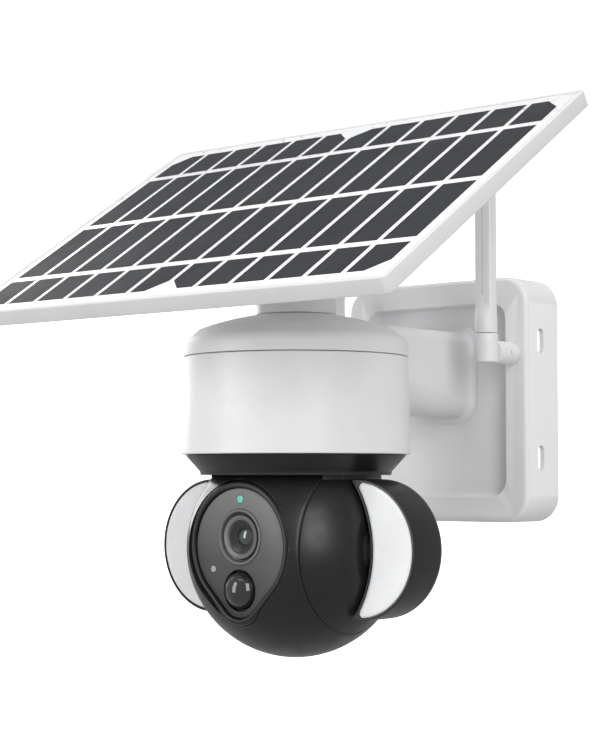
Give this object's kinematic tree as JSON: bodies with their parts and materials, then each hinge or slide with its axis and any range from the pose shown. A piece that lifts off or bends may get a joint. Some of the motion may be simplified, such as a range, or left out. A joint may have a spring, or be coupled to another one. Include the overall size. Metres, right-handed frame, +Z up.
{
  "type": "solar security camera",
  "caption": "Wall-held pan and tilt camera: ball head with lamp pods in a fork, round housing on a square bracket, two aerials, and a tilting solar panel on top.",
  "frame": {"origin": "centre of the bracket's back, in the plane of the wall", "axes": "+Y into the wall, -Y the way the camera faces, +Z up, +X to the right seen from in front"},
  "size_m": [0.239, 0.2284, 0.2457],
  "materials": {
    "white_plastic": "fine satin moulded",
    "black_plastic": "fine satin moulded",
    "bare_steel": "zinc plated",
    "soft_rubber": "matt",
    "gear_nylon": "natural nylon",
    "circuit_board": "green solder mask",
    "battery_wrap": "shrink wrapped cell",
    "solar_cells": "dark cells under clear sheet on a white sheet",
    "face_gloss": "polished",
    "lens_black": "semi-gloss",
    "lens_glass": "coated",
    "pir_black": "polished dome",
    "status_teal": "tinted light pipe",
    "sensor_grey": "clear light pipe",
    "lamp_white": "opal diffuser"
  },
  "bodies": {
    "housing": {"wall_plate": "bare_steel", "plate_screw_upper": "bare_steel", "plate_screw_lower": "bare_steel", "arm_screw_upper": "bare_steel", "arm_screw_lower": "bare_steel", "bracket_shell": "white_plastic", "support_arm": "white_plastic", "pan_housing": "white_plastic", "top_cap": "white_plastic", "cap_gasket": "soft_rubber", "pan_bearing": "gear_nylon", "pan_motor": "bare_steel", "main_board": "circuit_board", "battery_tray": "black_plastic", "battery_cell_1": "battery_wrap", "battery_cell_2": "battery_wrap", "port_cover": "soft_rubber", "aerial_socket_left": "white_plastic", "aerial_socket_right": "white_plastic"},
    "power_button": {"power_button": "black_plastic"},
    "panel_mount": {"panel_turntable": "white_plastic", "tilt_bolt": "bare_steel", "tilt_knob": "black_plastic"},
    "panel": {"panel_frame": "white_plastic", "solar_laminate": "solar_cells", "panel_back_cover": "white_plastic", "panel_brace": "white_plastic"},
    "aerial_left": {"aerial_barrel_left": "white_plastic", "aerial_whip_left": "white_plastic"},
    "aerial_right": {"aerial_barrel_right": "white_plastic", "aerial_whip_right": "white_plastic"},
    "pan_pinion": {"pan_pinion": "gear_nylon"},
    "fork": {"turret_cone": "black_plastic", "retaining_ring": "bare_steel", "pan_gear": "gear_nylon", "fork_cheek_left": "black_plastic", "fork_cheek_right": "black_plastic", "tilt_bush_left": "gear_nylon", "tilt_bush_right": "gear_nylon", "tilt_gear": "gear_nylon"},
    "tilt_pinion": {"tilt_pinion": "gear_nylon"},
    "camera_head": {"ball_front_shell": "black_plastic", "ball_rear_shell": "black_plastic", "face_bezel": "black_plastic", "face_plate": "face_gloss", "lens_ring": "lens_black", "lens_glass": "lens_glass", "lens_barrel": "lens_black", "camera_board": "circuit_board", "pir_lens": "pir_black", "pir_sensor": "bare_steel", "status_light": "status_teal", "light_sensor": "sensor_grey", "tilt_motor": "bare_steel", "pod_shell_left": "black_plastic", "pod_shell_right": "black_plastic", "lamp_diffuser_left": "lamp_white", "lamp_diffuser_right": "lamp_white", "lamp_board_left": "circuit_board", "lamp_board_right": "circuit_board"}
  },
  "joints": [
    {"name": "panel_turn", "type": "hinge", "parent": "housing", "child": "panel_mount", "pos_m": [0, -0.1347, 0.04], "axis": [0, 0, 1], "range_deg": [-30, 30]},
    {"name": "panel_tilt", "type": "hinge", "parent": "panel_mount", "child": "panel", "pos_m": [0, -0.1347, 0.0493], "axis": [1, 0, 0], "range_deg": [-8, 17]},
    {"name": "head_pan", "type": "hinge", "parent": "housing", "child": "fork", "pos_m": [0, -0.1347, -0.027], "axis": [0, 0, 1], "range_deg": [-175, 175]},
    {"name": "pan_pinion_spin", "type": "hinge", "parent": "housing", "child": "pan_pinion", "pos_m": [0, -0.1002, -0.015], "axis": [0, 0, 1], "range_deg": [-631, 631]},
    {"name": "head_tilt", "type": "hinge", "parent": "fork", "child": "camera_head", "pos_m": [0, -0.1347, -0.068], "axis": [1, 0, 0], "range_deg": [-20, 90]},
    {"name": "tilt_pinion_spin", "type": "hinge", "parent": "camera_head", "child": "tilt_pinion", "pos_m": [-0.027, -0.1137, -0.068], "axis": [1, 0, 0], "range_deg": [-51, 226]},
    {"name": "aerial_swivel_left", "type": "hinge", "parent": "housing", "child": "aerial_left", "pos_m": [-0.045, -0.044, 0.0216], "axis": [0, 1, 0], "range_deg": [-90, 20]},
    {"name": "aerial_swivel_right", "type": "hinge", "parent": "housing", "child": "aerial_right", "pos_m": [0.045, -0.044, 0.0216], "axis": [0, 1, 0], "range_deg": [-20, 90]},
    {"name": "power_button_press", "type": "slide", "parent": "housing", "child": "power_button", "axis": [1, 0, 0], "range_m": [0, 0.0012], "stiffness_N_per_m": 400, "springref_m": -0.0003}
  ],
  "couplings": [
    {"joint": "pan_pinion_spin", "follows": "head_pan", "ratio": -3.6},
    {"joint": "tilt_pinion_spin", "follows": "head_tilt", "ratio": 2.5}
  ]
}
